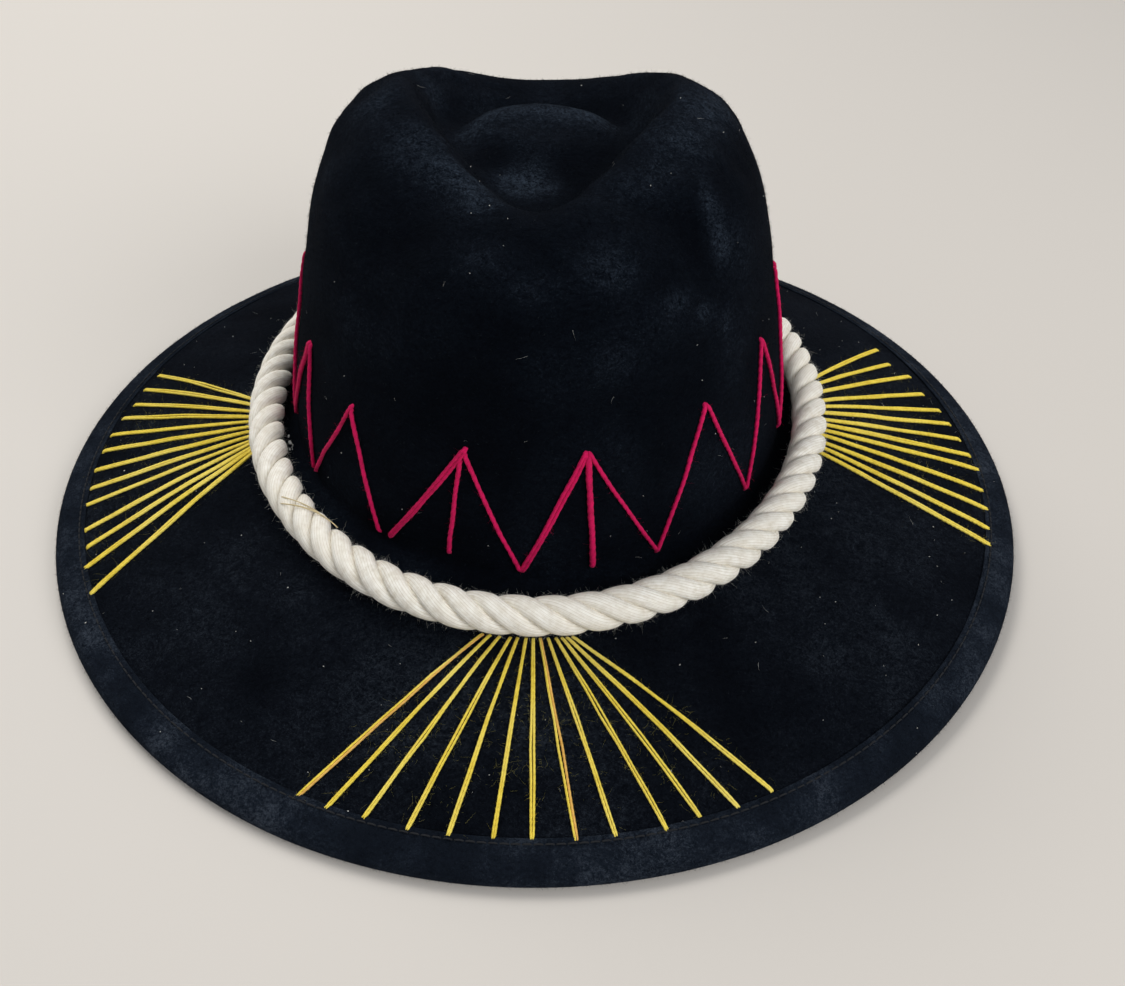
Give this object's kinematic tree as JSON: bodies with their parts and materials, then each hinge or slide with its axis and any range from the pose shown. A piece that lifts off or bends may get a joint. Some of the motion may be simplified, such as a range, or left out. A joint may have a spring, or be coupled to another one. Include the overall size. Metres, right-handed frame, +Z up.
{
  "type": "wide brim hat",
  "caption": "Stiff wide-brim hat with pinched teardrop crown, twisted rope band, bound edge and hand-stitched yarn decoration on crown and brim.",
  "frame": {"origin": "centre of the overall box in plan, at the level of the table the brim edge stands on", "axes": "+Z up out of the crown, -Y the wearer's front, X across the brim"},
  "size_m": [0.3416, 0.3486, 0.1411],
  "materials": {
    "suede": "napped faux suede",
    "binding": "napped faux suede band",
    "stiffener": "glued buckram",
    "edge_wire": "drawn wire",
    "black_thread": "polyester thread",
    "lining": "satin lining",
    "sweatband": "ribbed sweatband cloth",
    "rope": "natural cotton",
    "glue": "hot melt glue",
    "tack_thread": "thread",
    "yellow_yarn": "acrylic yarn",
    "magenta_yarn": "acrylic yarn"
  },
  "bodies": {
    "root": {"crown_shell": "suede", "brim_top_cover": "suede", "brim_under_cover": "suede", "brim_binding": "binding", "brim_stiffener": "stiffener", "brim_edge_wire": "edge_wire", "binding_needle_thread": "black_thread", "binding_bobbin_thread": "black_thread", "crown_lining": "lining", "sweatband": "sweatband", "sweatband_thread": "black_thread", "rope_strand_1": "rope", "rope_strand_2": "rope", "rope_strand_3": "rope", "rope_glue_bead": "glue", "rope_tack_thread": "tack_thread", "fan_yarn_front": "yellow_yarn", "fan_yarn_left": "yellow_yarn", "fan_yarn_right": "yellow_yarn", "fan_yarn_back": "yellow_yarn", "zigzag_left": "magenta_yarn", "zigzag_front": "magenta_yarn", "zigzag_back": "magenta_yarn", "upright_left": "magenta_yarn", "upright_right": "magenta_yarn"}
  },
  "joints": []
}
